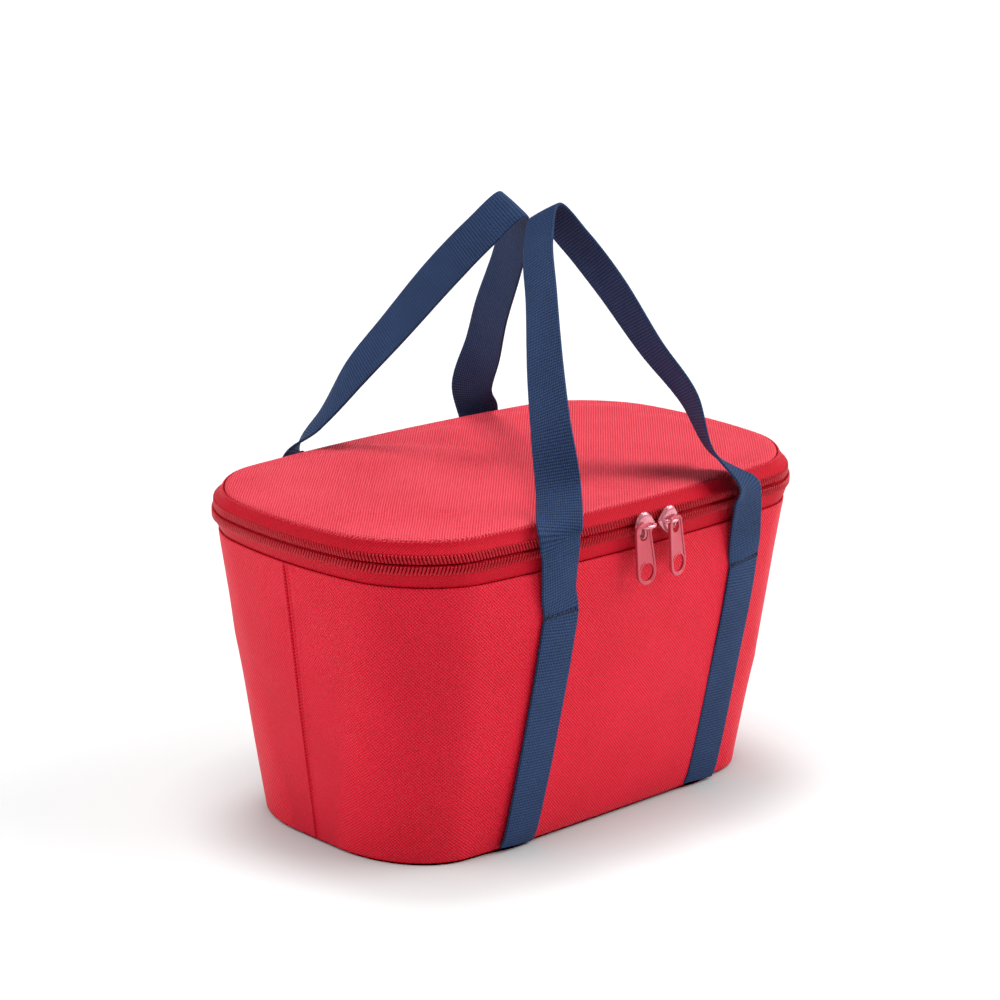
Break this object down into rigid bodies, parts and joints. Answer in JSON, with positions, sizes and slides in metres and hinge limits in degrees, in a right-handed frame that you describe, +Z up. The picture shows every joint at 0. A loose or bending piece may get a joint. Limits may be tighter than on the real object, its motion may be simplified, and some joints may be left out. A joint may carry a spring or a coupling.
{
  "type": "insulated cooler bag",
  "caption": "Small soft cooler bag with a tapered padded body, a lining, a zipped lid hinged at the back and webbing handles.",
  "frame": {"origin": "middle of the base, on the floor", "axes": "+Z up, X along the length of the bag, the front with the zip pulls faces -Y"},
  "size_m": [0.2744, 0.186, 0.2751],
  "materials": {
    "body_canvas": "coarse diagonal weave",
    "lid_cloth": "fine ribbed weave",
    "zip_tape": "fine flat tape",
    "zip_coil": "moulded nylon coil",
    "enamel": "gloss enamel",
    "webbing": "cross-ribbed webbing",
    "foam": "closed-cell foam",
    "lining": "silvery coated lining"
  },
  "bodies": {
    "bag": {"base_panel": "body_canvas", "body_panel_front": "body_canvas", "body_panel_back": "body_canvas", "base_foam": "foam", "wall_foam_front": "foam", "wall_foam_back": "foam", "liner_tub": "lining", "zip_tape_lower": "zip_tape", "zip_coil_lower": "zip_coil", "lid_hinge_lower": "body_canvas", "strap_run_front_left": "webbing", "strap_run_front_right": "webbing", "strap_run_back_left": "webbing", "strap_run_back_right": "webbing"},
    "lid": {"lid_panel": "lid_cloth", "lid_foam": "foam", "lid_liner": "lining", "zip_tape_upper": "zip_tape", "zip_coil_upper": "zip_coil", "lid_hinge_upper": "body_canvas"},
    "slider_left": {"zip_slider_left": "enamel"},
    "slider_right": {"zip_slider_right": "enamel"},
    "pull_left": {"zip_pull_left": "enamel"},
    "pull_right": {"zip_pull_right": "enamel"},
    "front_legs": {"strap_leg_front_left": "webbing", "strap_leg_front_right": "webbing"},
    "back_legs": {"strap_leg_back_left": "webbing", "strap_leg_back_right": "webbing"},
    "front_loop": {"handle_loop_front": "webbing"},
    "back_loop": {"handle_loop_back": "webbing"}
  },
  "joints": [
    {"name": "lid_hinge", "type": "hinge", "parent": "bag", "child": "lid", "pos_m": [0, 0.0875, 0.14325], "axis": [-1, 0, 0], "range_deg": [0, 85]},
    {"name": "front_leg_fold", "type": "hinge", "parent": "bag", "child": "front_legs", "pos_m": [0, -0.0827, 0.112], "axis": [1, 0, 0], "range_deg": [0, 149]},
    {"name": "back_leg_fold", "type": "hinge", "parent": "bag", "child": "back_legs", "pos_m": [0, 0.0827, 0.112], "axis": [-1, 0, 0], "range_deg": [0, 51.5]},
    {"name": "front_loop_fold", "type": "hinge", "parent": "front_legs", "child": "front_loop", "pos_m": [0, -0.088, 0.15], "axis": [1, 0, 0], "range_deg": [0, 65]},
    {"name": "back_loop_fold", "type": "hinge", "parent": "back_legs", "child": "back_loop", "pos_m": [0, 0.088, 0.15], "axis": [-1, 0, 0], "range_deg": [0, 65]},
    {"name": "left_slider_run", "type": "slide", "parent": "bag", "child": "slider_left", "axis": [-1, 0, 0], "range_m": [0, 0.026]},
    {"name": "right_slider_run", "type": "slide", "parent": "bag", "child": "slider_right", "axis": [1, 0, 0], "range_m": [0, 0.018]},
    {"name": "left_pull_swing", "type": "hinge", "parent": "slider_left", "child": "pull_left", "pos_m": [0, -0.0921, 0.14325], "axis": [-1, 0, 0], "range_deg": [0, 120]},
    {"name": "right_pull_swing", "type": "hinge", "parent": "slider_right", "child": "pull_right", "pos_m": [0, -0.0921, 0.14325], "axis": [-1, 0, 0], "range_deg": [0, 120]}
  ],
  "couplings": [
    {"joint": "front_leg_fold", "follows": "lid_hinge", "ratio": 1.75},
    {"joint": "back_leg_fold", "follows": "lid_hinge", "ratio": 0.6}
  ]
}
